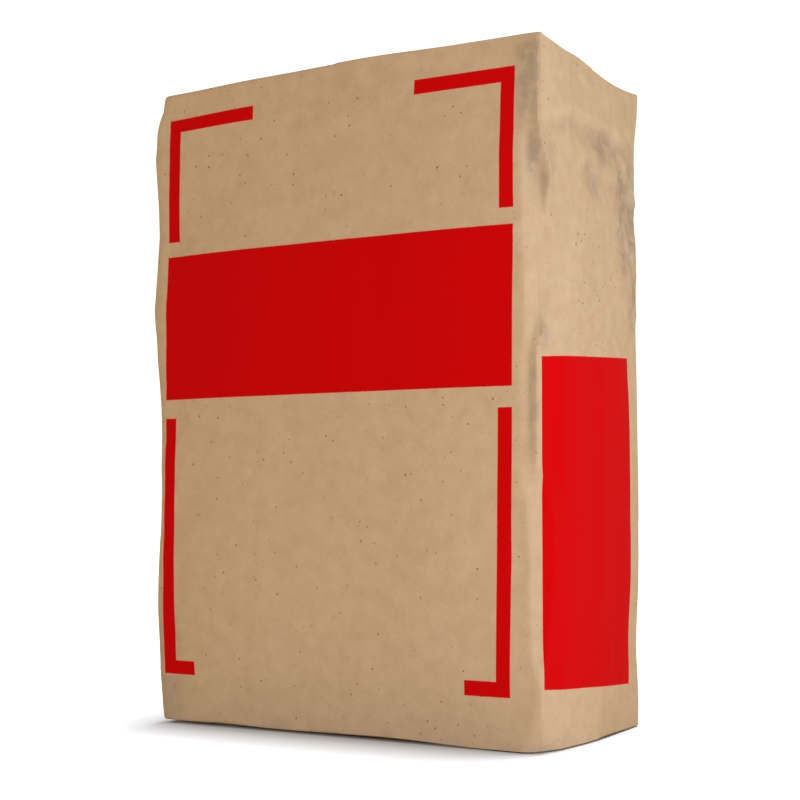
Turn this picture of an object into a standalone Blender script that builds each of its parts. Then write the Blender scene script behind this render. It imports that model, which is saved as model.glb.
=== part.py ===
"""A filled kraft paper cement sack, standing on its end.

The sack is a paper tube whose two ends are folded flat and pasted shut. A paper sheet is
pasted over each end, and a paper valve sleeve, pressed flat, lies under the left fold of
the top. Z is up, the printed front faces -Y, and the origin is the middle of the base.
"""

import math

import bmesh
import bpy
from mathutils import Vector

# Driving dimensions, in metres

HEIGHT = 0.4225
WIDTH = 0.283
DEPTH = 0.148
FRONT_CROWN = 0.0035
SIDE_CROWN = 0.0025
MIDDLE_SWELL = 0.0015
TOP_SPREAD = 0.002
MIDDLE_RADIUS = 0.0075
END_RADIUS = 0.0025
SHARP_LENGTH = 0.042
TOP_FOLD_RADIUS = 0.003
BASE_FOLD_RADIUS = 0.005
COVER_THICKNESS = 0.0006
COVER_END_MARGIN = 0.012
COVER_SIDE_MARGIN = 0.010
VALVE_WIDTH = 0.095
VALVE_THICKNESS = 0.0016
VALVE_DEPTH = 0.0025
VALVE_REACH = 0.070
GAP = 0.0003

# The top left front corner has sunk: how far the dent spreads, and how far in it goes

SUNK_REACH = 0.028
SUNK_SHIFT = Vector((0.0065, 0.003, -0.0035))

# How finely the sack's walls are divided

FLAT_SHARE = 0.40
WIDE_STEPS = 14
NARROW_STEPS = 10
CORNER_STEPS = 4
FOLD_STEPS = 3
BODY_STEPS = 26

# Edges that turn by more than this stay crisp in the shading

CRISP_ANGLE = math.radians(35)

# Linear colours and roughness of the papers

SACK_PAPER = ((0.515, 0.342, 0.180), 0.78)
COVER_PAPER = ((0.470, 0.305, 0.155), 0.80)
SLEEVE_PAPER = ((0.440, 0.280, 0.140), 0.75)

# Heights that follow from the dimensions

SACK_BASE = COVER_THICKNESS + GAP
SACK_TOP = HEIGHT - COVER_THICKNESS - GAP
SACK_HEIGHT = SACK_TOP - SACK_BASE

# The valve sleeve's mouth is level with the fullest part of the left side

VALVE_MOUTH = -WIDTH / 2 - MIDDLE_SWELL - SIDE_CROWN
SLOT_OVERRUN = 0.020

# The walls in turn, anticlockwise from above: outward way, way along, steps and crown

WALLS = (
    (Vector((0, -1)), Vector((1, 0)), WIDE_STEPS, FRONT_CROWN),
    (Vector((1, 0)), Vector((0, 1)), NARROW_STEPS, SIDE_CROWN),
    (Vector((0, 1)), Vector((-1, 0)), WIDE_STEPS, FRONT_CROWN),
    (Vector((-1, 0)), Vector((0, -1)), NARROW_STEPS, SIDE_CROWN),
)


def clear_scene():
    for thing in list(bpy.data.objects):
        bpy.data.objects.remove(thing, do_unlink=True)


def paper(name, colour, roughness):
    """A dull paper finish. The colour is linear."""
    material = bpy.data.materials.new(name)
    material.use_nodes = True
    shader = material.node_tree.nodes["Principled BSDF"]
    shader.inputs["Base Color"].default_value = (*colour, 1.0)
    shader.inputs["Roughness"].default_value = roughness
    shader.inputs["Metallic"].default_value = 0.0
    material.diffuse_color = (*colour, 1.0)
    return material


def new_object(name, shape, material):
    """Makes an object from a bmesh, with its faces pointing out."""
    bmesh.ops.recalc_face_normals(shape, faces=shape.faces)
    mesh = bpy.data.meshes.new(name)
    shape.to_mesh(mesh)
    shape.free()
    thing = bpy.data.objects.new(name, mesh)
    bpy.context.collection.objects.link(thing)
    if material:
        mesh.materials.append(material)
    return thing


def eased(share):
    """Rises smoothly from 0 to 1 as share does."""
    share = min(max(share, 0.0), 1.0)
    return share * share * (3.0 - 2.0 * share)


def crown(share):
    """1 on the flat middle of a wall, down to 0 at its two edges, where share is -1 and 1."""
    return eased((1.0 - abs(share)) / (1.0 - FLAT_SHARE))


def corner_radius(height):
    """The upright corners are crisp near the folded ends and soft between them."""
    from_end = min(height, SACK_HEIGHT - height)
    return END_RADIUS + (MIDDLE_RADIUS - END_RADIUS) * eased(from_end / SHARP_LENGTH)


def outline(height, inset):
    """The sack's outline at a height above its own base, drawn in all round by the inset."""
    share = 2.0 * height / SACK_HEIGHT - 1.0
    level = crown(share)
    grow = MIDDLE_SWELL * level + TOP_SPREAD * share * (1.0 - level) - inset
    half = Vector((WIDTH / 2 + grow, DEPTH / 2 + grow))
    radius = corner_radius(height)
    points = []
    for outward, along, steps, rise in WALLS:
        reach = abs(outward.dot(half))
        span = abs(along.dot(half))
        for step in range(steps + 1):
            place = -math.cos(math.pi * step / steps)
            push = rise * crown(place) * level
            points.append(outward * (reach + push) + along * place * (span - radius))
        centre = outward * (reach - radius) + along * (span - radius)
        for step in range(1, CORNER_STEPS):
            angle = math.pi / 2 * step / CORNER_STEPS
            points.append(centre + radius * (outward * math.cos(angle) + along * math.sin(angle)))
    return points


def fold(radius):
    """Distance from the flat end and inset of the outlines that turn its folded edge."""
    turn = [(0.0, COVER_SIDE_MARGIN)]
    for step in range(FOLD_STEPS + 1):
        angle = math.pi / 2 * step / FOLD_STEPS
        turn.append((radius * (1 - math.cos(angle)), radius * (1 - math.sin(angle))))
    return turn


def levels():
    """Height and inset of every outline, from the flat base up to the flat top."""
    body = []
    length = SACK_HEIGHT - BASE_FOLD_RADIUS - TOP_FOLD_RADIUS
    for step in range(1, BODY_STEPS):
        share = (1 - math.cos(math.pi * step / BODY_STEPS)) / 2
        body.append((BASE_FOLD_RADIUS + share * length, 0.0))
    top = [(SACK_HEIGHT - height, inset) for height, inset in reversed(fold(TOP_FOLD_RADIUS))]
    return fold(BASE_FOLD_RADIUS) + body + top


def sunk(point):
    """Moves a point near the top left front corner in and down."""
    corner = Vector((-WIDTH / 2 - TOP_SPREAD, -DEPTH / 2 - TOP_SPREAD, SACK_TOP))
    return point + SUNK_SHIFT * eased(1.0 - (point - corner).length / SUNK_REACH)


def valve_box(name, clearance, overrun, material=None):
    """A flat box where the valve sleeve lies, wider by the clearance, with its mouth overrun."""
    middle = SACK_TOP - VALVE_DEPTH
    low = Vector((VALVE_MOUTH, -VALVE_WIDTH / 2, middle - VALVE_THICKNESS / 2))
    high = Vector((VALVE_MOUTH + VALVE_REACH, VALVE_WIDTH / 2, middle + VALVE_THICKNESS / 2))
    low -= Vector((overrun, clearance, clearance))
    high += Vector((clearance, clearance, clearance))
    box = bmesh.new()
    bmesh.ops.create_cube(box, size=1.0)
    bmesh.ops.scale(box, vec=high - low, verts=box.verts)
    bmesh.ops.translate(box, vec=(low + high) / 2, verts=box.verts)
    return new_object(name, box, material)


def filled_sack(material):
    """The paper tube with its folded ends and the cement in it, as one body."""
    shape = bmesh.new()
    rings = []
    for height, inset in levels():
        ring = []
        for point in outline(height, inset):
            place = Vector((point.x, point.y, SACK_BASE + height))
            ring.append(shape.verts.new(sunk(place)))
        rings.append(ring)
    count = len(rings[0])
    for lower, upper in zip(rings, rings[1:]):
        for i in range(count):
            j = (i + 1) % count
            shape.faces.new((lower[i], lower[j], upper[j], upper[i]))
    shape.faces.new(reversed(rings[0]))
    shape.faces.new(rings[-1])
    sack = new_object("filled_sack", shape, material)

    slot = valve_box("valve_slot_cutter", GAP, SLOT_OVERRUN)
    slot.hide_render = True
    slot.display_type = "WIRE"
    cut = sack.modifiers.new("Valve slot", "BOOLEAN")
    cut.operation = "DIFFERENCE"
    cut.object = slot
    sack.data.shade_smooth()
    sack.data.set_sharp_from_angle(angle=CRISP_ANGLE)
    return sack


def cover_sheet(name, base, share, material):
    """The sheet pasted over one end. The share is -1 at the base and 1 at the top."""
    width = WIDTH + 2 * TOP_SPREAD * share - 2 * COVER_END_MARGIN
    depth = DEPTH + 2 * TOP_SPREAD * share - 2 * COVER_SIDE_MARGIN
    sheet = bmesh.new()
    bmesh.ops.create_cube(sheet, size=1.0)
    bmesh.ops.scale(sheet, vec=(width, depth, COVER_THICKNESS), verts=sheet.verts)
    bmesh.ops.translate(sheet, vec=(0, 0, base + COVER_THICKNESS / 2), verts=sheet.verts)
    return new_object(name, sheet, material)


def build():
    clear_scene()
    kraft = paper("Sack kraft paper", *SACK_PAPER)
    cover = paper("Cover sheet kraft paper", *COVER_PAPER)
    sleeve = paper("Valve sleeve kraft paper", *SLEEVE_PAPER)
    filled_sack(kraft)
    cover_sheet("base_cover_sheet", 0.0, -1, cover)
    cover_sheet("top_cover_sheet", HEIGHT - COVER_THICKNESS, 1, cover)
    valve_box("valve_sleeve", 0.0, 0.0, sleeve)


build()
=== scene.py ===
# %% [markdown]
# # A filled cement sack, standing on its end
# The real thing is a pasted block-bottom valve sack: a tube of two plies of brown kraft paper,
# folded flat and pasted shut at both ends, with a paper sheet over each end. Cement goes in
# through a flat paper sleeve under one fold, which the cement then presses shut.
# This lesson dresses a plain engineering model of it. The model is loaded first and never moved,
# and each piece made here stands for one of its solids.

# %% Load the engineering model
import math

import bpy
import numpy as np
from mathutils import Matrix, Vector


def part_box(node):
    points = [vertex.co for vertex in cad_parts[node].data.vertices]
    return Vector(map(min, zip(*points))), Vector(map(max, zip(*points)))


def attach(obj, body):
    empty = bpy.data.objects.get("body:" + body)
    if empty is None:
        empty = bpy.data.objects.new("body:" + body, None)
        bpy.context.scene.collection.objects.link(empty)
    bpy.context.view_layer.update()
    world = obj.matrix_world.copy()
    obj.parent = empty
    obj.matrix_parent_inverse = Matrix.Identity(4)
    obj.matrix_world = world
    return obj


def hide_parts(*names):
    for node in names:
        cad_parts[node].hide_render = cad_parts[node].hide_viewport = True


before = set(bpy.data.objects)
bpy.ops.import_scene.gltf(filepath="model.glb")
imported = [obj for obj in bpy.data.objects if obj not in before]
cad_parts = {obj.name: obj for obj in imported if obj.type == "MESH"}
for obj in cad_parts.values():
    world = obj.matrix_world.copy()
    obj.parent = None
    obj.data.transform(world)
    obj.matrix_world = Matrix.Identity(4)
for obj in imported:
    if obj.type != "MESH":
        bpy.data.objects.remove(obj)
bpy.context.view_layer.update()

print("solids:", sorted(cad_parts))

# %% [markdown]
# ## The camera
# The photograph looks at the sack's front and right side from a low place, a metre away: the
# upright edges stay almost upright and the top can't be seen. Place, turn and lens were worked out
# from the corners of the sack, so they are set as numbers and nothing is aimed by eye.

# %% Camera
CAMERA_PLACE = (0.5324, -0.9078, 0.1434)
CAMERA_TURN = math.radians(30.3)
CAMERA_LIFT = math.radians(3.78)
LENS_MM = 71.3
SENSOR_MM = 36.0

camera_angles = (math.pi / 2 + CAMERA_LIFT, 0, CAMERA_TURN)
bpy.ops.object.camera_add(location=CAMERA_PLACE, rotation=camera_angles)
camera = bpy.context.object
camera.name = "photo_camera"
camera.data.lens = LENS_MM
camera.data.sensor_width = SENSOR_MM
bpy.context.scene.camera = camera
print("camera looks from", [round(c, 3) for c in camera.location])

# %% [markdown]
# ## Tools used all through
# An operator acts on everything that is selected, and loading leaves the solids selected. So each
# step starts by choosing exactly one piece, and edges and faces are chosen in code by where they
# are. Points are read and written as one table, because paper is shaped by moving many points a
# little, as a sculptor would with a soft brush.

# %% Choosing, reading and writing
def work_on(piece):
    """Makes one piece the only thing selected, in object mode."""
    if bpy.context.object and bpy.context.object.mode != "OBJECT":
        bpy.ops.object.mode_set(mode="OBJECT")
    bpy.ops.object.select_all(action="DESELECT")
    piece.select_set(True)
    bpy.context.view_layer.objects.active = piece


def points_of(piece):
    """The piece's points, one row each, in metres."""
    table = np.empty(len(piece.data.vertices) * 3)
    piece.data.vertices.foreach_get("co", table)
    return table.reshape(-1, 3)


def move_points(piece, table):
    """Puts the piece's points where the table says."""
    piece.data.vertices.foreach_set("co", np.ascontiguousarray(table, dtype=np.float32).ravel())
    piece.data.update()


def select_only(piece, kind, chosen):
    """Selects the numbered faces or edges and nothing else, and leaves the piece in edit mode."""
    work_on(piece)
    bpy.ops.object.mode_set(mode="EDIT")
    bpy.ops.mesh.select_mode(type=kind)
    bpy.ops.mesh.select_all(action="DESELECT")
    bpy.ops.object.mode_set(mode="OBJECT")
    parts = piece.data.edges if kind == "EDGE" else piece.data.polygons
    flags = np.zeros(len(parts), dtype=bool)
    flags[chosen] = True
    parts.foreach_set("select", flags)
    bpy.ops.object.mode_set(mode="EDIT")


def edges_along(piece, axis):
    """The numbers of the edges that run along one axis: 0 is X, 1 is Y and 2 is Z."""
    ends = np.array([edge.vertices for edge in piece.data.edges])
    run = np.abs(np.diff(points_of(piece)[ends], axis=1))[:, 0]
    return np.flatnonzero(run.argmax(axis=1) == axis)


def divide_along(piece, axis, cuts):
    """Cuts every edge that runs along one axis into equal lengths."""
    select_only(piece, "EDGE", edges_along(piece, axis))
    bpy.ops.mesh.subdivide(number_cuts=cuts)
    bpy.ops.object.mode_set(mode="OBJECT")


def eased(share):
    """Rises smoothly from 0 to 1 as share does."""
    share = np.clip(share, 0.0, 1.0)
    return share * share * (3.0 - 2.0 * share)


MM = 0.001
print("tools ready")

# %% [markdown]
# ## The sack: a box net first
# Filled, the tube is close to a box: flat faces that cement pushes out a little, crisp folds at
# both ends, and upright edges that are crisp near the folds and round between them. It could be
# lofted from outlines, but a box cut into an even net is easier to shape and keeps each point's
# place on the flat paper. So a cube is set to the straight box inside the solid and cut three
# ways.

# %% Straight box
sack_low, sack_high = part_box("filled_sack")
SIDE_BULGE = 4.0 * MM
FRONT_BULGE = 5.0 * MM
MIDDLE_SWELL = 1.5 * MM
TOP_SPREAD = 2.0 * MM
HALF_WIDTH = (sack_high.x - sack_low.x) / 2 - SIDE_BULGE
HALF_DEPTH = (sack_high.y - sack_low.y) / 2 - FRONT_BULGE
MIDDLE = np.array([0.0, 0.0, (sack_low.z + sack_high.z) / 2])
HALF_BOX = np.array([HALF_WIDTH, HALF_DEPTH, (sack_high.z - sack_low.z) / 2])
print("straight box in mm:", (2000 * HALF_BOX).round(1))

# %% [markdown]
# The rows are drawn closer together towards the edges, where the paper turns sharply. The straight
# box is kept as an attribute later on, so that each point still knows where on the flat paper it is.

# %% Nets on the straight box
NET_CUTS = (89, 97, 191)
EVEN_SHARE = 0.45


def block(name, middle, size):
    """A new cube of this size round this middle, with its place and size put into its mesh."""
    bpy.ops.mesh.primitive_cube_add(size=1, location=middle)
    made = bpy.context.object
    made.name = name
    made.dimensions = size
    work_on(made)
    bpy.ops.object.transform_apply(location=True, rotation=True, scale=True)
    return made


def box_net(name, cuts, even_share):
    """A closed box net. An even share of 1 spaces its rows evenly, and less crowds the edges."""
    net = block(name, MIDDLE, 2 * HALF_BOX)
    for axis, count in enumerate(cuts):
        divide_along(net, axis, count)
    share = (points_of(net) - MIDDLE) / HALF_BOX
    crowded = even_share * share + (1 - even_share) * np.sin(share * math.pi / 2)
    move_points(net, MIDDLE + HALF_BOX * crowded)
    return net


sack = box_net("kraft_paper_sack", NET_CUTS, EVEN_SHARE)
gaps = np.diff(np.unique(points_of(sack)[:, 0].round(6))) / MM
print("net of", len(sack.data.polygons), "faces")
print("rows are", gaps.min().round(2), "to", gaps.max().round(2), "mm apart")

# %% [markdown]
# Three things on this sack end in a straight cut edge of paper: the pasted seam down the back, the
# long flaps that are folded over each end, whose ends run at 45 degrees from the corners, and the
# mouth of the valve. A step in paper needs two lines of points close together, and Bisect puts
# them exactly where they are wanted while the net is still flat.

# %% Lines where paper ends
SEAM_PLACE = 36 * MM
STEP_RUN = 0.3 * MM
FLAP_VISIBLE = 24 * MM
MOUTH_HALF = 47.8 * MM
MOUTH_DEPTHS = (1.3 * MM, 3.7 * MM)
MOUTH_MARGINS = (4 * MM, 2 * MM)
ON_WALL = 0.9999
CUT_THRESHOLD = 1e-7


def centres_of(piece):
    """The middles of the piece's faces, one row each."""
    table = np.empty(len(piece.data.polygons) * 3)
    piece.data.polygons.foreach_get("center", table)
    return table.reshape(-1, 3)


def cut_line(piece, chosen, spot, across):
    """Cuts the chosen faces where they meet a plane, given by a place on it and the way across it."""
    select_only(piece, "FACE", chosen)
    bpy.ops.mesh.bisect(plane_co=spot, plane_no=across, threshold=CUT_THRESHOLD)
    bpy.ops.object.mode_set(mode="OBJECT")


def wall_faces(piece, axis, side):
    """Which faces lie on one wall of the straight box: axis 0 is X, and side is -1 or 1."""
    part = (centres_of(piece) - MIDDLE) / HALF_BOX
    return part[:, axis] * side > ON_WALL


def keep_on_points(piece, name, values):
    """Keeps a number or a place for each point, as an attribute of the mesh."""
    values = np.asarray(values, dtype=np.float32)
    kind, field = ("FLOAT", "value") if values.ndim == 1 else ("FLOAT_VECTOR", "vector")
    piece.data.attributes.new(name, kind, "POINT").data.foreach_set(field, values.ravel())


for shift in (-STEP_RUN / 2, STEP_RUN / 2):
    cut_line(sack, wall_faces(sack, 1, 1), (SEAM_PLACE + shift, 0, 0), (1, 0, 0))
for end in (-1, 1):
    for side_x in (-1, 1):
        for side_y in (-1, 1):
            for shift in (-STEP_RUN / 2, STEP_RUN / 2):
                corner = MIDDLE + HALF_BOX * (side_x, side_y, end)
                near = np.abs(centres_of(sack) - corner)[:, :2].max(axis=1) < FLAP_VISIBLE
                spot = corner + (0, side_y * shift, 0)
                cut_line(sack, wall_faces(sack, 2, end) & near, spot, (side_x, -side_y, 0))
SACK_TOP = MIDDLE[2] + HALF_BOX[2]
for depth in MOUTH_DEPTHS:
    near = np.abs(centres_of(sack)[:, 1]) < MOUTH_HALF + MOUTH_MARGINS[0]
    cut_line(sack, wall_faces(sack, 0, -1) & near, (0, 0, SACK_TOP - depth), (0, 0, 1))
for side_y in (-1, 1):
    near = SACK_TOP - centres_of(sack)[:, 2] < MOUTH_DEPTHS[1] + MOUTH_MARGINS[1]
    cut_line(sack, wall_faces(sack, 0, -1) & near, (0, side_y * MOUTH_HALF, 0), (0, 1, 0))

straight = points_of(sack)
keep_on_points(sack, "straight_place", straight)
print("net with its lines has", len(sack.data.polygons), "faces")

# %% [markdown]
# ## The sack: filled form
# Each point of the straight box is carried to the filled form by one rule: round the upright
# edges and the folds, lean the sides a little outwards towards the top, and push the middle of
# each wall out where cement presses on it. The edge nearest the camera is left sharp, because it
# gets its folds in the next step.

# %% Filled form
MIDDLE_RADIUS = 7.5 * MM
END_RADIUS = 2.5 * MM
SHARP_LENGTH = 42 * MM
NEAR_RADIUS = 0.4 * MM
TOP_FOLD_RADIUS = 3.0 * MM
BASE_FOLD_RADIUS = 1.5 * MM
FLAT_SHARE = 0.40


def crown(share):
    """1 over the flat middle of a wall, down to 0 at its edges, where share is -1 and 1."""
    return eased((1.0 - np.abs(share)) / (1.0 - FLAT_SHARE))


def filled(straight):
    """Places on the filled sack for places on the straight box, and the outward ways there."""
    share = (straight[:, 2] - MIDDLE[2]) / HALF_BOX[2]
    level = crown(share)
    grow = MIDDLE_SWELL * level + TOP_SPREAD * share * (1 - level)
    half = np.stack([HALF_WIDTH + grow, HALF_DEPTH + grow, np.full(len(share), HALF_BOX[2])], axis=1)
    part = (straight - MIDDLE) / HALF_BOX
    from_end = (1 - np.abs(share)) * HALF_BOX[2]
    upright = END_RADIUS + (MIDDLE_RADIUS - END_RADIUS) * eased(from_end / SHARP_LENGTH)
    nearest = (part[:, 0] > 0) & (part[:, 1] < 0)
    upright = np.where(nearest, NEAR_RADIUS, upright)
    fold = np.where(share > 0, TOP_FOLD_RADIUS, BASE_FOLD_RADIUS)
    radius = np.stack([upright, upright, fold], axis=1)
    inner = np.clip(part * half, radius - half, half - radius)
    outward = (part * half - inner) / radius
    outward /= np.linalg.norm(outward, axis=1, keepdims=True)
    place = MIDDLE + inner + outward * radius
    rise = np.array([SIDE_BULGE, FRONT_BULGE, 0.0]) - np.array([MIDDLE_SWELL, MIDDLE_SWELL, 0.0])
    bulge = np.stack([crown(part[:, 1]), crown(part[:, 0]), np.zeros(len(share))], axis=1)
    return place + outward * rise * bulge * level[:, None], outward


place, outward = filled(straight)
print("filled size in mm:", (np.ptp(place, axis=0) / MM).round(1))

# %% [markdown]
# ## The two edges that have been knocked
# The edge nearest the camera has been knocked in. Paper folds into flat facets there, which is best
# said by three folds at each height: where the flat front ends, the valley behind it, and the crest
# where the paper turns to the side. They are given from the sharp corner, in millimetres, and
# everything between them is stretched straight. Most of the edge is cut off at a slant, and below
# the top a small ear is left standing out of it.
# A real fold turns gently, so its shape is averaged over a few millimetres up the edge and across.

# %% Folds of the near edge
NEAR_FOLDS = np.array([  # height, where the flat front ends, then X and Y of valley and crest
    (0, -15, -9.5, 4, -6, 9.8), (14, -8.5, -5, 1.4, -2.6, 3), (30, -5.8, -3.5, 0.3, -1.9, 0.6),
    (42, -6.5, -4, 0.8, -2.2, 1.5), (60, -8.1, -5, 3.1, -1, 6.5), (100, -10.1, -6, 4.1, 0, 10.1),
    (148, -10.9, -6.5, 4.4, 0, 10.9), (158, -15.5, -9, 3, -3, 5),
    (166, -16.5, -11.4, 0.9, -5.7, 0.6), (200, -15.5, -11.2, 1.6, -5.3, 0),
    (231, -15.5, -11.1, 1.6, -5.1, 0), (237, -12, -9.8, 1.5, -5, 1.4),
    (243, -11.3, -8.3, 3, -0.5, 2.8), (250, -11.6, -8.1, 3.5, -2, 4),
    (260, -12.2, -6, 6.2, 0, 12.2), (306, -13.5, -7, 6.5, 0, 13.5),
    (318, -13.7, -5.6, 8.1, -2.5, 9.5), (328, -13.7, -6.1, 7.6, 0.2, 8),
    (336, -13.6, -5.8, 7.8, 1.8, 7.9), (342, -13.6, -6.5, 7.1, 2.4, 7.2),
    (349, -13.6, -10.7, 2.9, 1.4, 3), (360, -13.5, -12.4, 0.8, -2.2, 0.6),
    (370, -11, -8.3, 0.9, -2.4, 0), (380, -10.5, -7.7, 0.9, -3.2, 0), (390, -10, -7, 0, -3.4, 0),
    (404, -8, -5, 0, -2.4, 0), (422, -6, -4, 0, -1.2, 0),
]) * MM
FOLDS_REACH = (22 * MM, 24 * MM)
FOLDS_EVEN = np.array([-5, -2.5, 0, 2.5, 5]) * MM
FOLDS_SOFT = np.array([-1.4, -0.7, 0, 0.7, 1.4]) * MM
END_FADE = 8 * MM


def near_folds(straight):
    """Moves the near edge to its folds: how far each point goes, along X and Y."""
    over_front, over_side = straight[:, 0] - HALF_WIDTH, straight[:, 1] + HALF_DEPTH
    along = over_front + over_side
    ups = straight[:, 2, None] + FOLDS_EVEN
    flat_end, valley_x, valley_y, crest_x, crest_y = (
        np.interp(ups, NEAR_FOLDS[:, 0], column).mean(axis=1) for column in NEAR_FOLDS[:, 1:].T)
    none = np.zeros(len(straight))
    x = np.stack([none - FOLDS_REACH[0], flat_end, valley_x, crest_x, none], axis=1)
    y = np.stack([none, none, valley_y, crest_y, none + FOLDS_REACH[1]], axis=1)
    at = x + y
    row = np.arange(len(straight))
    moved = [-np.minimum(along, 0), -np.clip(along, 0, FOLDS_REACH[1])]
    for step in FOLDS_SOFT:
        here = along + step
        piece = np.clip((here[:, None] >= at).sum(axis=1) - 1, 0, 3)
        part = np.minimum((here - at[row, piece]) / (at[row, piece + 1] - at[row, piece]), 1)
        for way, line in enumerate((x, y)):
            start, end = line[row, piece], line[row, piece + 1]
            moved[way] = moved[way] + (start + part * (end - start)) / len(FOLDS_SOFT)
    fade = eased(1 - np.minimum(-over_front, over_side) / END_FADE)
    return np.stack([*moved, none], axis=1) * fade[:, None]


folded = near_folds(straight)
print("near edge moves by up to", (np.linalg.norm(folded, axis=1).max() / MM).round(1), "mm")

# %% [markdown]
# The left front edge swells out in three places where cement has slumped against it, and its top
# corner has sunk in. That is one outward push for each height, fading within a thumb's width.

# %% Pushes on the left edge
LEFT_PUSHES = np.array([  # height, push
    (0, -1.3), (10, 0.3), (34, 2.7), (73, 3.0), (100, 1.6), (127, 0.6), (153, 0), (193, 0.5),
    (207, 0.8), (234, 3.3), (274, 6.4), (301, 4.4), (322, 3.4), (342, 4.0), (377, 6.2), (396, 4.2),
    (404, 1.5), (411, -1.9), (422, -3.9),
]) * MM
LEFT_FADE = (10.5 * MM, 26 * MM)
LEFT_WAY = np.array([-1.0, -0.25, 0.0])


def left_pushes(straight):
    """Swells the left front edge out and sinks its top corner."""
    push = np.interp(straight[:, 2], *LEFT_PUSHES.T)
    fade = eased(1 - (straight[:, 0] + HALF_WIDTH) / LEFT_FADE[0])
    fade *= eased(1 - (straight[:, 1] + HALF_DEPTH) / LEFT_FADE[1])
    return (push * fade)[:, None] * LEFT_WAY


place += folded + left_pushes(straight)
print("left edge moves by", LEFT_PUSHES[:, 1].min() / MM, "to", LEFT_PUSHES[:, 1].max() / MM, "mm")

# %% [markdown]
# ## Cement pressing on the paper
# Kraft paper bends easily but hardly stretches, so a tube of it can't simply grow: it swells a
# little in the middle of each wall and pulls into long shallow wrinkles elsewhere. That is left to
# a cloth simulation. A coarser copy of the filled form is cloth with pressure inside and no
# gravity, held where the pasted folds stiffen it. Only how far it has come out of the form is
# kept, softly capped, evened out over a few rows of the coarse net and read back at any place, so
# the sack itself keeps its fine net. What comes out is the ripple along the upright edges that a
# full paper sack has. The sack starts a little smaller to make room for it.

# %% Let a coarse copy swell
TRIAL_CUTS = (49, 27, 73)
TRIAL_EVEN_SHARE = 0.75
SWELL_FRAMES = 20
SWELL_CAP = 1.2 * MM
SWELL_START = 0.7 * MM
EVEN_TIMES = 8
HELD_SHARE = 0.12
HELD_RAMP = 0.7
PAPER_CLOTH = {
    "quality": 5, "mass": 0.3, "air_damping": 2.0, "pin_stiffness": 2.0, "shrink_min": -0.0013,
    "tension_stiffness": 60.0, "compression_stiffness": 60.0, "shear_stiffness": 40.0,
    "bending_stiffness": 100.0, "tension_damping": 10.0, "compression_damping": 10.0,
    "shear_damping": 10.0, "bending_damping": 2.0, "use_pressure": True,
    "uniform_pressure_force": 4.5, "vertex_group_mass": "pasted_ends",
}


def swollen(trial):
    """Lets a net swell as stiff cloth, held near its two ends, and leaves no cloth on it."""
    held = trial.vertex_groups.new(name="pasted_ends")
    from_middle = np.abs(points_of(trial)[:, 2] - MIDDLE[2]) / HALF_BOX[2]
    hold = np.clip((from_middle - 1 + HELD_SHARE) / (HELD_RAMP * HELD_SHARE), 0, 1)
    for number, share in enumerate(hold):
        if share > 0:
            held.add([number], share, "REPLACE")
    cloth = trial.modifiers.new("paper under pressure", "CLOTH")
    for name, value in PAPER_CLOTH.items():
        setattr(cloth.settings, name, value)
    cloth.settings.effector_weights.gravity = 0
    cloth.collision_settings.use_collision = False
    cloth.point_cache.frame_end = SWELL_FRAMES
    for frame_number in range(1, SWELL_FRAMES + 1):
        bpy.context.scene.frame_set(frame_number)
    work_on(trial)
    bpy.ops.object.modifier_apply(modifier=cloth.name)
    bpy.context.scene.frame_set(1)


trial = box_net("pressure_trial", TRIAL_CUTS, TRIAL_EVEN_SHARE)
trial_straight = points_of(trial)
trial_place, trial_outward = filled(trial_straight)
move_points(trial, trial_place)
swollen(trial)
trial_swell = ((points_of(trial) - trial_place) * trial_outward).sum(axis=1)
trial_swell = SWELL_CAP * np.tanh(trial_swell / SWELL_CAP)
bpy.data.objects.remove(trial, do_unlink=True)
print("swell in mm:", (np.percentile(trial_swell, [0, 25, 50, 75, 100]) / MM).round(2))


# %% Read the swell anywhere
def four_rows(rows, where):
    """The four rows round each place and how much each counts, for a smooth curve through them."""
    low = np.clip(np.searchsorted(rows, where, side="right") - 1, 0, len(rows) - 2)
    t = np.clip((where - rows[low]) / (rows[low + 1] - rows[low]), 0, 1)
    picked = np.clip(low[:, None] + np.arange(-1, 3), 0, len(rows) - 1)
    shares = [-t ** 3 + 2 * t ** 2 - t, 3 * t ** 3 - 5 * t ** 2 + 2,
              -3 * t ** 3 + 4 * t ** 2 + t, t ** 3 - t ** 2]
    return picked, np.stack(shares, axis=1) / 2


def evened(table, times):
    """Brings each number of a table nearer to its neighbours, so many times over."""
    for _ in range(times):
        wide = np.pad(table, 1, mode="edge")
        table = (4 * table + wide[2:, 1:-1] + wide[:-2, 1:-1] + wide[1:-1, 2:] + wide[1:-1, :-2]) / 8
    return table


def read_swell(straight):
    """How far out of the form the trial has come at places on the straight box."""
    part, trial_part = (straight - MIDDLE) / HALF_BOX, (trial_straight - MIDDLE) / HALF_BOX
    wall = np.abs(part).argmax(axis=1)
    found = np.zeros(len(straight))
    for axis in range(3):
        across, up = [other for other in range(3) if other != axis]
        for side in (-1, 1):
            source = trial_part[:, axis] * side > ON_WALL
            rows, row = np.unique(trial_straight[source, across].round(6), return_inverse=True)
            columns, column = np.unique(trial_straight[source, up].round(6), return_inverse=True)
            table = np.zeros((len(rows), len(columns)))
            table[row, column] = trial_swell[source]
            table = evened(table, EVEN_TIMES)
            wanted = np.flatnonzero((wall == axis) & (part[:, axis] * side > 0))
            row_picked, row_shares = four_rows(rows, straight[wanted, across])
            column_picked, column_shares = four_rows(columns, straight[wanted, up])
            patch = table[row_picked[:, :, None], column_picked[:, None, :]]
            found[wanted] = np.einsum("nij,ni,nj->n", patch, row_shares, column_shares)
    return found


swell = read_swell(straight)
print("swell read at", len(swell), "points")

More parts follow.
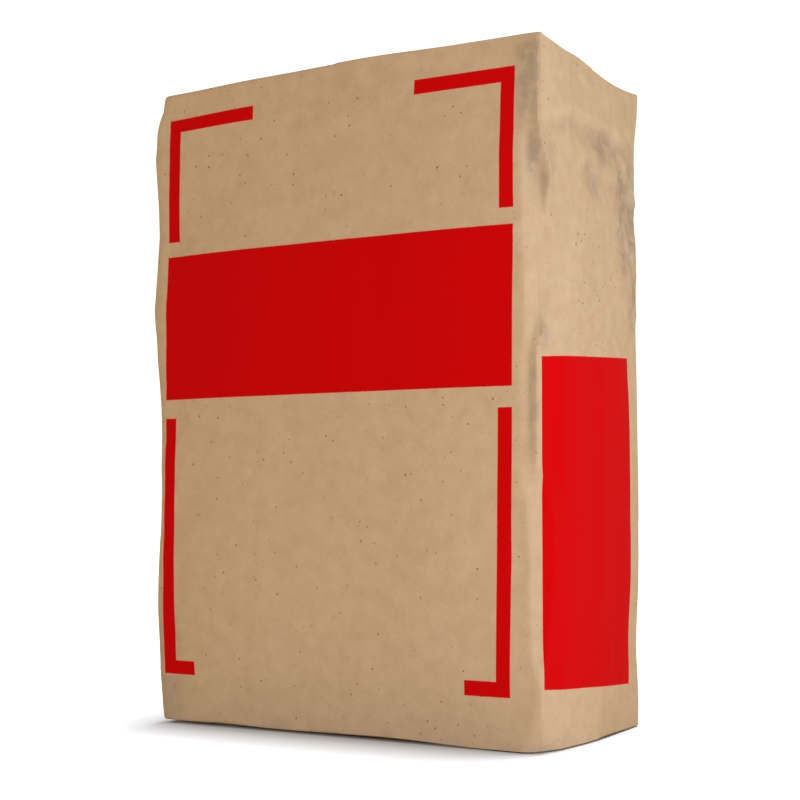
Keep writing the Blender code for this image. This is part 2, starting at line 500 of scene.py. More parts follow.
# %% [markdown]
# ## How this sack has settled
# No two sacks stand alike. On this one the top is slightly domed, its far right side and its left
# front corner have sunk, its near corner is pulled up, and the front fold of the base touches the
# floor in places only. Each is one soft press: a place, how far it reaches along X, Y and Z, and how
# far the paper moves, all in millimetres. The same presses are used later on the sheets and the
# sleeve, so that nothing parts from the sack.

# %% Settling
SETTLING = (
    ((-15, 0, 424), (150, 260, 60), (0, 0, 2.0)), ((-143, -76, 421), (80, 80, 60), (0, 0, -1.8)),
    ((143, -76, 421), (170, 50, 90), (0, 0, 1.0)), ((143, 38, 421), (75, 75, 60), (0, 0, -5.8)),
    ((143, -50, 421), (22, 32, 30), (0, 0, -2.2)), ((143, 0, 421), (60, 140, 60), (0, 0, -0.6)),
    ((143, -76, 0), (170, 70, 130), (0, 0, -1.2)), ((-143, -76, 0), (110, 60, 110), (0, 0, 0.3)),
    ((-88, -78, 0), (34, 34, 16), (0, 0, 0.9)), ((32, -78, 0), (70, 34, 16), (0, 0, 1.5)),
    ((143, 0, 0), (34, 110, 100), (4.6, 0, -1.0)), ((143, -50, 0), (22, 34, 14), (-2.5, 0, 0)),
    ((143, 75, 330), (60, 85, 90), (-0.4, -0.1, 0)), ((143, 75, 40), (50, 60, 90), (0.8, 0, 0)),
    ((143, 75, 0), (50, 60, 30), (0, 0, -1.4)),
)
FLOOR_CLEARANCE = 0.1 * MM


def press(place, centre, reach, shift):
    """How far one soft press moves each place."""
    away = np.linalg.norm((place / MM - centre) / reach, axis=1)
    return eased(1 - away)[:, None] * np.array(shift) * MM


def settled(place):
    """Where all the presses leave each place, and nothing goes through the floor."""
    moved = place + sum(press(place, *one) for one in SETTLING)
    moved[:, 2] = np.maximum(moved[:, 2], np.minimum(place[:, 2], FLOOR_CLEARANCE))
    return moved


print("presses for settling:", len(SETTLING))

# %% [markdown]
# ## Dents and creases in the paper
# Kraft paper doesn't stretch, so where it is pushed in it buckles: broad shallow dents with a few
# sharp lines in them. Dents are soft presses again. A crease is a low ridge or furrow with a sharp
# crest that fades to both sides and to both ends. The ones that the photograph shows are listed,
# with their places on the wall in millimetres, and smaller ones are scattered with a fixed seed,
# thickest near the folds and the upright edges where paper is worked the most.

# %% Dents
WALLS = {"front": (1, -1), "right": (0, 1), "back": (1, 1), "left": (0, -1)}
DENTS = {
    "right": (
        (-5, 372, 64, 14, -2.6), (40, 392, 34, 16, 0.8), (46, 330, 26, 42, -2.4),
        (22, 352, 16, 18, 1.6), (-8, 345, 18, 16, -1.6), (57, 345, 10, 14, -2.0),
        (-30, 300, 34, 60, 1.4), (30, 262, 34, 28, -1.4),
    ),
    "front": (
        (120, 352, 22, 14, 0.6), (126, 112, 14, 16, -0.7), (60, 375, 70, 22, -0.5),
        (-70, 380, 60, 24, -0.5), (-20, 260, 90, 60, 0.6), (-70, 130, 60, 70, -0.6),
        (70, 120, 60, 60, 0.5),
    ),
    "back": (
        (70, 350, 70, 40, -1.3), (-60, 300, 80, 60, 1.2), (-90, 160, 50, 60, -1.2),
        (40, 90, 90, 50, 1.0),
    ),
    "left": (
        (10, 352, 60, 30, -1.8), (-30, 250, 40, 50, 1.2), (30, 150, 40, 50, -1.4),
        (-10, 60, 50, 30, 0.9),
    ),
}


def facing(outward, wall):
    """1 where the paper faces out of that wall, 0 where it faces across it."""
    axis, side = WALLS[wall]
    return np.clip(outward[:, axis] * side, 0, 1)


def on_wall(straight, wall):
    """Places along the wall, in mm: X or Y, and the height."""
    along = 1 - WALLS[wall][0]
    return straight[:, along] / MM, straight[:, 2] / MM


def from_spot(straight, wall, along, up, reach_along, reach_up):
    """How far each place is from a spot on a wall, as a share of the spot's reach."""
    x, z = on_wall(straight, wall)
    return np.hypot((x - along) / reach_along, (z - up) / reach_up)


def listed(table):
    """The rows of a table that is kept wall by wall, each with its wall in front."""
    return [(wall, *row) for wall, rows in table.items() for row in rows]


def dents(straight, outward):
    """How far out the dents move each point. Most move it in."""
    depth = np.zeros(len(straight))
    for wall, *spot, height in listed(DENTS):
        depth += height * MM * eased(1 - from_spot(straight, wall, *spot)) * facing(outward, wall)
    return depth


print("dents:", len(listed(DENTS)))

# %% Creases
CREASES = {
    "right": (
        ((-74, 371), (-34, 385), 2.2, 1.2), ((-34, 385), (24, 385), 2.2, 1.4),
        ((24, 385), (50, 378), 2.2, 1.1), ((-60, 367), (-20, 377), 5.0, -0.9),
        ((-20, 377), (30, 377), 5.0, -1.1), ((36, 370), (58, 352), 2.5, 0.9),
        ((52, 366), (60, 352), 2.5, -1.0), ((54, 356), (60, 338), 1.8, -2.4),
        ((60, 338), (70, 331), 1.8, -2.2), ((62, 352), (68, 340), 2.4, 1.4),
        ((64, 318), (56, 300), 1.8, 1.6), ((56, 300), (66, 282), 1.8, -2.2),
        ((46, 316), (52, 296), 2.0, -1.4), ((38, 372), (42, 350), 2.5, -1.0),
        ((-20, 352), (4, 330), 3.0, -1.1), ((-20, 352), (-26, 366), 3.0, 0.8),
        ((14, 352), (22, 338), 3.0, -0.9), ((46, 330), (52, 300), 3.0, 0.9),
        ((30, 330), (36, 306), 3.0, -0.9), ((56, 300), (60, 276), 2.2, -1.1),
        ((20, 290), (42, 256), 3.0, 0.7), ((60, 52), (70, 42), 2.0, -0.6),
    ),
    "front": (((128, 112), (134, 100), 2.0, -0.5),),
}
SCATTER = {
    "front": (
        (34, (-135, 135), (385, 414), (10, 34), 0.16),
        (16, (-136, -110), (20, 400), (10, 34), 0.24), (16, (112, 136), (20, 400), (10, 30), 0.24),
        (14, (-100, 100), (40, 380), (20, 60), 0.08), (20, (-135, 135), (6, 34), (8, 26), 0.16),
    ),
    "right": (
        (30, (-70, 70), (360, 414), (8, 30), 0.40), (34, (8, 70), (250, 380), (8, 26), 0.60),
        (14, (-68, 10), (220, 370), (10, 34), 0.24), (18, (-68, 68), (8, 50), (8, 24), 0.34),
        (10, (-60, 60), (60, 220), (14, 40), 0.20),
    ),
    "back": (
        (60, (-135, 135), (360, 414), (10, 40), 0.34), (60, (-135, 135), (6, 380), (14, 60), 0.28),
    ),
    "left": ((40, (-70, 70), (340, 414), (8, 36), 0.45), (50, (-70, 70), (6, 380), (10, 44), 0.36)),
}
CREASE_SEED = 7
SCATTER_WIDTHS = (1.6, 5.0)
CREASE_TIP = 0.02
WORN_HEIGHT = 0.6 * MM


def crease(straight, outward, wall, start, end, width, height):
    """One sharp crested line. It gives how far out it moves each point, in metres."""
    x, z = on_wall(straight, wall)
    spot = np.stack([x, z], axis=1)
    start, end = np.array(start, dtype=float), np.array(end, dtype=float)
    run = end - start
    along = np.clip((spot - start) @ run / (run @ run), 0, 1)
    away = np.linalg.norm(spot - start - along[:, None] * run, axis=1)
    fade = np.sqrt(np.sin(math.pi * np.clip(along, CREASE_TIP, 1 - CREASE_TIP)))
    return height * MM * np.exp(-away / width) * fade * facing(outward, wall)


def scattered():
    """The small creases: walls, ends, widths and heights drawn with a fixed seed."""
    rng = np.random.default_rng(CREASE_SEED)
    for wall, count, across, up, lengths, height in listed(SCATTER):
        for _ in range(count):
            middle = np.array([rng.uniform(*across), rng.uniform(*up)])
            turn = rng.uniform(0, math.pi)
            half = rng.uniform(*lengths) / 2 * np.array([math.cos(turn), math.sin(turn)])
            size = rng.normal() * height
            yield wall, middle - half, middle + half, rng.uniform(*SCATTER_WIDTHS), size


def creases(straight, outward):
    """How far out all creases move each point, and how worn their crests are."""
    moved = np.zeros(len(straight))
    worn = np.zeros(len(straight))
    for one in (*listed(CREASES), *scattered()):
        push = crease(straight, outward, *one)
        moved += push
        worn = np.maximum(worn, push / WORN_HEIGHT)
    return moved, worn


print("creases:", len(listed(CREASES)) + sum(row[1] for row in listed(SCATTER)))

# %% [markdown]
# Between the dents the paper is never quite flat. A few long waves in random directions, added up,
# give it the slow rolling of paper over settled powder.

# %% Rolling
ROLL_WAVES = 14
ROLL_LENGTHS = (45 * MM, 130 * MM)
ROLL_HEIGHT = 0.10 * MM
ROLL_SEED = 3
ROLL_START = 20 * MM


def rolling(straight):
    """How far out the added waves move each place. They start a little above the base."""
    rng = np.random.default_rng(ROLL_SEED)
    height = np.zeros(len(straight))
    for _ in range(ROLL_WAVES):
        way = rng.normal(size=3)
        way *= 2 * math.pi / np.linalg.norm(way) / rng.uniform(*ROLL_LENGTHS)
        height += np.sin(straight @ way + rng.uniform(0, 2 * math.pi))
    return ROLL_HEIGHT * height * eased(straight[:, 2] / ROLL_START)


print("rolling waves:", ROLL_WAVES)

# %% [markdown]
# Where a sack has been gripped or knocked, its paper is crumpled: small flat facets that meet in
# sharp lines. Added zigzag waves in random directions give that, more of them up and down than
# across because the paper slumps, and a zigzag rather than a sine keeps the facets flat. The same
# patches, with a few more, are darkened: partly scuffs, and partly painted shade for the dents and
# folded facets. They are kept as an attribute for the finish.

# %% Crumpled patches, and scuffed patches with painted shade
CRUMPLES = {
    "right": ((50, 322, 38, 78, 1.4), (8, 372, 70, 26, 0.8), (-40, 300, 40, 70, 0.25)),
    "left": ((0, 300, 80, 130, 0.9), (10, 90, 70, 80, 0.6)),
    "back": ((0, 390, 150, 30, 0.5), (90, 200, 60, 190, 0.3)),
    "front": ((128, 330, 14, 70, 0.3), (-134, 200, 14, 190, 0.5)),
}
# Darkened patches: scuffs, and on the right side and the front also painted shade for dents and folded
# facets.
SCUFFS_AND_PAINTED_SHADE = {
    "right": (
        (50, 330, 34, 60, 0.8), (20, 366, 46, 16, 0.6), (-10, 346, 20, 18, 0.5),
        (62, 280, 20, 30, 0.8), (-66, 338, 11, 26, 0.5), (-72, 241, 9, 12, 0.5),
    ),
    "front": (
        (133, 396, 15, 44, 0.9), (138, 350, 10, 34, 0.8), (136, 200, 5, 44, 0.7),
        (-134, 40, 20, 60, 0.5),
    ),
    "left": ((0, 320, 70, 90, 0.9), (30, 60, 50, 60, 0.6)),
    "back": ((-110, 380, 40, 40, 0.8), (60, 60, 90, 50, 0.5), (36, 220, 4, 260, 0.5)),
}
PATCH_CORE = 1.4
CRUMPLE_WAVES = 7
CRUMPLE_LENGTHS = (10 * MM, 32 * MM)
CRUMPLE_HEIGHT = 0.36 * MM
CRUMPLE_SLUMP = (0.7, 0.7, 1.4)
CRUMPLE_SEED = 11


def zigzag(turns):
    """A zigzag from -1 to 1 and back in one turn."""
    return 4 * np.abs(turns - np.floor(turns + 0.5)) - 1


def patches(straight, outward, table):
    """The strongest of the listed soft patches at each point."""
    found = np.zeros(len(straight))
    for wall, *spot, strength in listed(table):
        inside = eased(PATCH_CORE * (1 - from_spot(straight, wall, *spot)))
        found = np.maximum(found, strength * inside * facing(outward, wall))
    return found


def crumpled(straight, outward):
    """How far out the zigzag waves move each point of the crumpled patches."""
    rng = np.random.default_rng(CRUMPLE_SEED)
    height = np.zeros(len(straight))
    for _ in range(CRUMPLE_WAVES):
        way = rng.normal(size=3) * CRUMPLE_SLUMP
        length = rng.uniform(*CRUMPLE_LENGTHS)
        way /= np.linalg.norm(way) * length
        height += zigzag(straight @ way + rng.uniform()) * length / CRUMPLE_LENGTHS[1]
    return CRUMPLE_HEIGHT * height * patches(straight, outward, CRUMPLES)


print("crumpled patches:", len(listed(CRUMPLES)), "scuffed patches:", len(listed(SCUFFS_AND_PAINTED_SHADE)))

# %% [markdown]
# ## Steps and folds in the paper
# The last relief is made by how the tube was glued. The seam's outer ply ends in a low step. On
# each end the short flaps lie a ply lower than the long ones. And the flattened tube has left a
# faint ridge up the middle of both narrow sides.

# %% Steps and folds
PLY_STEP = 0.4 * MM
SEAM_OVERLAP = 30 * MM
RIDGE_HEIGHT = 0.9 * MM
RIDGE_WIDTH = 16 * MM
RIDGE_SPAN = 0.9
FLAP_FADE = 6 * MM
FACES_END = 0.95


def step_at(distance):
    """0 before a cut line and 1 past it, with the change inside the cut's own two rows."""
    return np.clip(distance / STEP_RUN + 0.5, 0, 1)


def glued_relief(straight, outward):
    """How far the seam, the flaps and the flattened edge move each point, outwards."""
    x, y = straight[:, 0], straight[:, 1]
    over = SEAM_PLACE - x
    seam = step_at(over) * np.clip(1 - over / SEAM_OVERLAP, 0, 1) * facing(outward, "back")
    from_long, from_short = HALF_DEPTH - np.abs(y), HALF_WIDTH - np.abs(x)
    flaps = step_at(from_long - from_short) * eased(from_short / FLAP_FADE)
    flaps *= np.abs(outward[:, 2]) > FACES_END
    level = crown((straight[:, 2] - MIDDLE[2]) / HALF_BOX[2] * RIDGE_SPAN)
    narrow = facing(outward, "left") + facing(outward, "right")
    ridge = np.exp(-np.abs(y) / RIDGE_WIDTH) * level * narrow
    return PLY_STEP * (seam - flaps) + RIDGE_HEIGHT * ridge


crease_height, worn = creases(straight, outward)
sharp_relief = crease_height + crumpled(straight, outward)
relief = swell + dents(straight, outward) + sharp_relief + rolling(straight)
relief += glued_relief(straight, outward)
print("relief in mm: from", (1000 * relief.min()).round(2), "to", (1000 * relief.max()).round(2))

# %% [markdown]
# The relief moves the front along Y and the side along X, which would tear the sharp near edge open
# by a hair. So near that edge both turn to one slanting way and the relief fades out. The hollows of
# the creases and crumples are darkened with painted shade, on top of the scuffs.

# %% Put the relief on
NEAR_BLEND = 14 * MM
SLANT = np.array([1.0, -1.0]) / math.sqrt(2)
# The hollows of creases and crumples are darkened by painted shade.
HOLLOW_DEPTH = 1.2 * MM
HOLLOW_PAINTED_SHADE = 0.6

from_near = np.maximum(HALF_WIDTH - straight[:, 0], straight[:, 1] + HALF_DEPTH)
blend = eased(1 - from_near / NEAR_BLEND)[:, None]
level = np.linalg.norm(outward[:, :2], axis=1, keepdims=True)
way = np.hstack([outward[:, :2] + blend * (SLANT * level - outward[:, :2]), outward[:, 2:]])
move_points(sack, settled(place + way * (relief[:, None] * (1 - blend) - SWELL_START)))
# Painted shade and scuffs together: the listed patches, plus the hollows of creases and crumples.
scuff_and_shade_share = patches(straight, outward, SCUFFS_AND_PAINTED_SHADE) + HOLLOW_PAINTED_SHADE * np.clip(-sharp_relief / HOLLOW_DEPTH, 0, 1)
keep_on_points(sack, "wear", np.clip(worn, 0, 1))
keep_on_points(sack, "scuff_and_painted_shade", np.clip(scuff_and_shade_share, 0, 1))
keep_on_points(sack, "crumple", patches(straight, outward, CRUMPLES))
print("points with scuffs or dust:", np.count_nonzero(scuff_and_shade_share))

# %% [markdown]
# ## The valve's mouth
# The mouth is a flat opening under the left fold. Its outline is already cut into the net, so the
# faces inside it are chosen and extruded inwards to make a flat pocket for the sleeve.

# %% Pocket for the valve sleeve
POCKET_DEPTH = 73 * MM
HAIR = 1e-6

flat_centres = np.array([straight[list(face.vertices)].mean(axis=0) for face in sack.data.polygons])
below_top = SACK_TOP - flat_centres[:, 2]
in_mouth = (flat_centres[:, 0] < HAIR - HALF_WIDTH) & (np.abs(flat_centres[:, 1]) < MOUTH_HALF)
in_mouth &= (below_top > MOUTH_DEPTHS[0]) & (below_top < MOUTH_DEPTHS[1])
select_only(sack, "FACE", in_mouth)
bpy.ops.mesh.extrude_region_move(TRANSFORM_OT_translate={"value": (POCKET_DEPTH, 0, 0)})
bpy.ops.object.mode_set(mode="OBJECT")
print("faces in the mouth:", int(in_mouth.sum()))

# %% [markdown]
# ## Lay out the paper as a UV map
# The print was made on the flat tube, so it has to follow the paper and not the room. A UV map in
# metres does that: it runs round the tube from the left edge of the front, with height as its
# second number. Faces are unrolled by which wall they are on, so no face straddles a seam.

# %% Sheet map
GIRTH = 4 * (HALF_WIDTH + HALF_DEPTH)
SIDE_MIDDLE = 2 * HALF_WIDTH + HALF_DEPTH
END_OFFSET = 0.2


def lay_out(piece):
    """Writes the UV map named sheet from the attribute straight_place."""
    mesh = piece.data
    flat = np.empty(len(mesh.vertices) * 3, dtype=np.float32)
    mesh.attributes["straight_place"].data.foreach_get("vector", flat)
    flat = flat.reshape(-1, 3).astype(float)
    corner = np.empty(len(mesh.loops), dtype=np.int32)
    mesh.loops.foreach_get("vertex_index", corner)
    count = np.empty(len(mesh.polygons), dtype=np.int32)
    mesh.polygons.foreach_get("loop_total", count)
    start = np.empty(len(mesh.polygons), dtype=np.int32)
    mesh.polygons.foreach_get("loop_start", start)
    spot = flat[corner]
    part = np.add.reduceat((spot - MIDDLE) / HALF_BOX, start, axis=0) / count[:, None]
    wall = np.abs(part).argmax(axis=1)
    side = np.sign(np.take_along_axis(part, wall[:, None], axis=1)[:, 0])
    wall, side = np.repeat(wall, count), np.repeat(side, count)
    front = HALF_WIDTH + spot[:, 0]
    right = SIDE_MIDDLE + spot[:, 1]
    back = 3 * HALF_WIDTH + 2 * HALF_DEPTH - spot[:, 0]
    left = 4 * HALF_WIDTH + 3 * HALF_DEPTH - spot[:, 1]
    u = np.where(wall == 1, np.where(side < 0, front, back), np.where(side > 0, right, left))
    v = spot[:, 2]
    end = wall == 2
    u = np.where(end, HALF_WIDTH + spot[:, 0], u)
    v = np.where(end, spot[:, 2] + side * (END_OFFSET + spot[:, 1]), v)
    sheet = mesh.uv_layers.get("sheet") or mesh.uv_layers.new(name="sheet")
    sheet.data.foreach_set("uv", np.stack([u, v], axis=1).astype(np.float32).ravel())


lay_out(sack)
print("girth of the tube in mm:", round(1000 * GIRTH))

# %% [markdown]
# ## Kraft paper and its red print
# Unbleached sack kraft is a dull light brown sheet with long fibres, cloudy in tone, with sparse
# dark specks of bark. Flexographic ink soaks into it, so the red has no gloss of its own.

# %% A colour, a node
def linear(hex_colour):
    """An sRGB hex colour as the four linear numbers that a shader wants."""
    parts = [int(hex_colour[i:i + 2], 16) / 255 for i in (1, 3, 5)]
    return [c / 12.92 if c <= 0.04045 else ((c + 0.055) / 1.055) ** 2.4 for c in parts] + [1.0]


def add_node(tree, kind, links=None, **settings):
    """Adds one shader node with its settings. Each listed input gets a value, a socket, or a node
    that stands for its first socket.
    """
    made = tree.nodes.new("ShaderNode" + kind)
    for name, value in settings.items():
        setattr(made, name, value)
    for name, value in (links or {}).items():
        if isinstance(value, bpy.types.Node):
            value = value.outputs[0]
        if isinstance(value, bpy.types.NodeSocket):
            tree.links.new(value, made.inputs[name])
        else:
            made.inputs[name].default_value = value
    return made


def new_material(name, roughness, specular):
    """A material with only its shader, whose even values are set on its own sockets."""
    material = bpy.data.materials.new(name)
    material.use_nodes = True
    shader = material.node_tree.nodes["Principled BSDF"]
    for socket, value in (("Roughness", roughness), ("Specular IOR Level", specular), ("IOR", 1.5)):
        shader.inputs[socket].default_value = value
    return material, shader


print("middle grey as a linear colour:", [round(c, 3) for c in linear("#808080")])

# %% [markdown]
# The print is a few straight bars and panels on the flat sheet. Each is a rectangle that gives how
# far inside it a place is, and the largest of these numbers says where there is ink. The same
# print is on the front and the back, and on both sides. Ink creeps a little along the fibres, so
# its edge is ragged by a fraction of a millimetre.

# %% Where the print lies
PRINT_MIDDLE = HALF_WIDTH - 5.0 * MM
PRINT_HALF = 127.5 * MM
BAR = 9.0 * MM
TOP_BARS = (318.7 * MM, 402.8 * MM)
TOP_BAR_INNER_END = 60 * MM
LOW_BARS = (32 * MM, 200.5 * MM)
LOW_BAR_INNER_END = 103.3 * MM
PANEL = (212.9 * MM, 308.8 * MM)
LONGER_BAR_END = 97.8 * MM
PRINT_LEAN = 0.0105
LEAN_PIVOT = 340 * MM
SIDE_PANEL_ACROSS = (-72.6 * MM, 49 * MM)
SIDE_PANEL_UP = (33.8 * MM, 234 * MM)
SIDE_PANEL_FLARE = 0.065
INK_EDGE = 0.25 * MM
RAG_SIZE = 1.1111 * MM
RAG_SHIFT = 0.4 * MM


def rectangle(tree, place, low, high, flare=0.0):
    """How far inside a rectangle of the sheet a place is, in metres. It is negative outside.

    A flare makes its far end taller, by that share of the way along it at both corners.
    """
    centre = [(a + b) / 2 for a, b in zip(low, high)] + [0]
    half = [(b - a) / 2 for a, b in zip(low, high)] + [0]
    away = add_node(tree, "VectorMath", {0: place, 1: centre}, operation="SUBTRACT")
    size = add_node(tree, "VectorMath", {0: away}, operation="ABSOLUTE")
    left = add_node(tree, "VectorMath", {0: half, 1: size}, operation="SUBTRACT")
    each = add_node(tree, "SeparateXYZ", {0: left}).outputs
    along = add_node(tree, "SeparateXYZ", {0: away})
    tall = add_node(tree, "Math", {0: along, 1: flare, 2: each[1]}, operation="MULTIPLY_ADD")
    return add_node(tree, "Math", {0: each[0], 1: tall}, operation="MINIMUM")


def print_mask(tree):
    """1 where the sheet has red ink and 0 where it is bare, with the slightly ragged edge of ink."""
    sheet = add_node(tree, "UVMap", uv_map="sheet")
    rag = add_node(tree, "TexNoise", {"Vector": sheet, "Scale": 1 / RAG_SIZE, "Detail": 2.0})
    shift = add_node(tree, "VectorMath", {0: rag.outputs["Color"], 1: (0.5, 0.5, 0.5)},
                     operation="SUBTRACT")
    ragged = add_node(tree, "VectorMath", {0: shift, 1: (RAG_SHIFT,) * 3, 2: sheet},
                      operation="MULTIPLY_ADD")
    across, up = add_node(tree, "SeparateXYZ", {0: ragged}).outputs[:2]
    turn = add_node(tree, "Math", {0: across, 1: GIRTH / 2}, operation="FLOORED_MODULO")
    leaned = add_node(tree, "Math", {0: up, 1: -PRINT_LEAN, 2: turn}, operation="MULTIPLY_ADD")
    middle = PRINT_MIDDLE - PRINT_LEAN * LEAN_PIVOT
    from_middle = add_node(tree, "Math", {0: leaned, 1: middle}, operation="SUBTRACT")
    mirrored = add_node(tree, "Math", {0: from_middle}, operation="ABSOLUTE")
    whole, front, side = (add_node(tree, "CombineXYZ", {0: one, 1: up})
                          for one in (from_middle, mirrored, turn))
    side_low, side_high = ((SIDE_MIDDLE + SIDE_PANEL_ACROSS[end], SIDE_PANEL_UP[end])
                           for end in (0, 1))
    inside, *others = (
        rectangle(tree, front, (-PRINT_HALF, PANEL[0]), (PRINT_HALF, PANEL[1])),
        rectangle(tree, front, (PRINT_HALF - BAR, TOP_BARS[0]), (PRINT_HALF, TOP_BARS[1])),
        rectangle(tree, front, (TOP_BAR_INNER_END, TOP_BARS[1] - BAR), (PRINT_HALF, TOP_BARS[1])),
        rectangle(tree, front, (PRINT_HALF - BAR, LOW_BARS[0]), (PRINT_HALF, LOW_BARS[1])),
        rectangle(tree, front, (LOW_BAR_INNER_END, LOW_BARS[0]), (PRINT_HALF, LOW_BARS[0] + BAR)),
        rectangle(tree, whole, (LONGER_BAR_END, LOW_BARS[0]), (PRINT_HALF, LOW_BARS[0] + BAR)),
        rectangle(tree, side, side_low, side_high, SIDE_PANEL_FLARE),
    )
    for shape in others:
        inside = add_node(tree, "Math", {0: inside, 1: shape}, operation="MAXIMUM")
    return add_node(tree, "MapRange", {"Value": inside, "From Min": -INK_EDGE, "From Max": INK_EDGE},
                    interpolation_type="SMOOTHSTEP")


print("front panel in mm:", round(2000 * PRINT_HALF), "x", round(1000 * (PANEL[1] - PANEL[0])))

# %% [markdown]
# The clouds in the sheet and the gaps between its specks are as large as the photograph shows. A
# fibre is a few hundredths of a millimetre wide, too fine to show from a metre away. So the grain is
# drawn a millimetre wide, and a speck half a millimetre or more, as coarse as each needs to be to
# show. Scuffs mixed with painted shade, rubbed crests and crumpled folds follow the attributes that
# the sack's points keep.

# %% Specks in the paper
SPECK = linear("#5F4218")
SPECK_GAPS = ((5.2632 * MM, 1.0), (2.381 * MM, 0.6))
SPECK_SIZE = 0.155
SPECK_EDGE = (-0.012, 0.08)


def specks(tree, spot, gap, colour, darkness):
    """Strews dark specks of bark over a colour, one in each cell as wide as the gap."""
    cells = add_node(tree, "TexVoronoi", {"Vector": spot, "Scale": 1 / gap})
    chance = add_node(tree, "SeparateColor", {0: cells.outputs["Color"]})
    size = add_node(tree, "Math", {0: chance, 1: SPECK_SIZE}, operation="MULTIPLY")
    near = add_node(tree, "Math", {0: size, 1: cells}, operation="SUBTRACT")
    fleck = add_node(tree, "MapRange", {"Value": near, "From Min": SPECK_EDGE[0],
                                        "From Max": SPECK_EDGE[1], "To Max": darkness})
    return add_node(tree, "Mix", {0: fleck, 6: colour, 7: SPECK}, data_type="RGBA").outputs[2]


print("specks are", [round(gap / MM, 1) for gap, darkness in SPECK_GAPS], "mm apart")

# %% Scuffs with painted shade, rubbed crests and print
# One darker colour paints both the scuffs and the painted shade of dents, folded facets and hollows.
SCUFF_AND_SHADE_COLOUR = linear("#7E664B")
WORN = linear("#A48661")
INK = linear("#9B0000")
WORN_SHARE = 0.3
SMUDGE_SIZE = 8.3333 * MM
SCUFF_BUMPS = 6.0
CRUMPLE_SIZE = 16.667 * MM
CRUMPLE_BUMP = 3.4 * MM


def worn_and_printed(tree, spot, colour, grain):
    """What handling, painted shade and printing add: the new colour, the new bumps, and a node of
    crumpled folds.
    """
    wear, scuff_and_painted_shade, crumple = (add_node(tree, "Attribute", attribute_name=name).outputs["Fac"]
                            for name in ("wear", "scuff_and_painted_shade", "crumple"))
    smudge = add_node(tree, "TexNoise", {"Vector": spot, "Scale": 1 / SMUDGE_SIZE, "Detail": 8.0})
    patchy = add_node(tree, "MapRange", {"Value": smudge, "From Min": 0.42, "From Max": 0.54,
                                         "To Min": 0.4})
    # Patchy darkening for scuffs and painted shade.
    scuff_and_shade_share = add_node(tree, "Math", {0: scuff_and_painted_shade, 1: patchy}, operation="MULTIPLY")
    rubbed = add_node(tree, "Math", {0: wear, 1: WORN_SHARE}, operation="MULTIPLY")
    for share, coat in ((scuff_and_shade_share, SCUFF_AND_SHADE_COLOUR), (rubbed, WORN), (print_mask(tree), INK)):
        colour = add_node(tree, "Mix", {0: share, 6: colour, 7: coat}, data_type="RGBA").outputs[2]
    rough = add_node(tree, "Math", {0: smudge, 1: scuff_and_painted_shade}, operation="MULTIPLY")
    bumps = add_node(tree, "Math", {0: rough, 1: SCUFF_BUMPS, 2: grain}, operation="MULTIPLY_ADD")
    slumped = add_node(tree, "Mapping", {"Vector": spot, "Scale": CRUMPLE_SLUMP})
    ridges = add_node(tree, "TexNoise", {"Vector": slumped, "Scale": 1 / CRUMPLE_SIZE, "Detail": 5.0},
                      noise_type="RIDGED_MULTIFRACTAL")
    folds = add_node(tree, "Math", {0: ridges, 1: crumple}, operation="MULTIPLY")
    return colour, bumps, add_node(tree, "Bump", {"Height": folds, "Distance": CRUMPLE_BUMP})


print("ink in linear colour:", [round(c, 3) for c in INK])

# %% Kraft paper
PAPER_ROUGHNESS = 0.9
PAPER_SPECULAR = 0.03
KRAFT_DARK = linear("#90724E")
KRAFT_LIGHT = linear("#9C7E59")
CLOUD_SIZE = 9.0909 * MM
GRAIN_SIZE = 1.1111 * MM
GRAIN_STRETCH = (1.0, 1.0, 0.6)
GRAIN_SHARE = 0.6
GRAIN_BUMP = 0.4 * MM
CRISP_ANGLE = math.radians(28)


def kraft_paper(name, dark, light, with_print=False):
    """Dull brown sack paper: cloudy, with long fine fibres and sparse dark specks of bark."""
    material, shader = new_material(name, PAPER_ROUGHNESS, PAPER_SPECULAR)
    tree = material.node_tree
    spot = add_node(tree, "TexCoord").outputs["Object"]
    cloud = add_node(tree, "TexNoise", {"Vector": spot, "Scale": 1 / CLOUD_SIZE, "Detail": 4.0})
    fibres = add_node(tree, "Mapping", {"Vector": spot, "Scale": GRAIN_STRETCH})
    grain = add_node(tree, "TexNoise", {"Vector": fibres, "Scale": 1 / GRAIN_SIZE, "Detail": 3.0})
    blend = add_node(tree, "Math", {0: grain, 1: GRAIN_SHARE, 2: cloud}, operation="MULTIPLY_ADD")
    tone = add_node(tree, "MapRange", {"Value": blend, "From Min": 0.45, "From Max": 1.15})
    colour = add_node(tree, "Mix", {0: tone, 6: dark, 7: light}, data_type="RGBA").outputs[2]
    for gap, darkness in SPECK_GAPS:
        colour = specks(tree, spot, gap, colour, darkness)
    bumps, beneath = grain, {}
    if with_print:
        colour, bumps, beneath["Normal"] = worn_and_printed(tree, spot, colour, grain)
    bump = add_node(tree, "Bump", {"Height": bumps, "Strength": 0.2, "Distance": GRAIN_BUMP, **beneath})
    tree.links.new(colour, shader.inputs["Base Color"])
    tree.links.new(bump.outputs[0], shader.inputs["Normal"])
    return material


def hand_over(piece, node, material):
    """Gives a finished piece its paper, hangs it under the root body and hides the solid of the model
    that it stands for.
    """
    piece.data.materials.append(material)
    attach(piece, "root")
    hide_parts(node)


printed_kraft = kraft_paper("Printed sack kraft paper", KRAFT_DARK, KRAFT_LIGHT, with_print=True)
work_on(sack)
bpy.ops.object.shade_smooth_by_angle(angle=CRISP_ANGLE)
hand_over(sack, "filled_sack", printed_kraft)
print("printed kraft has", len(printed_kraft.node_tree.nodes), "nodes")

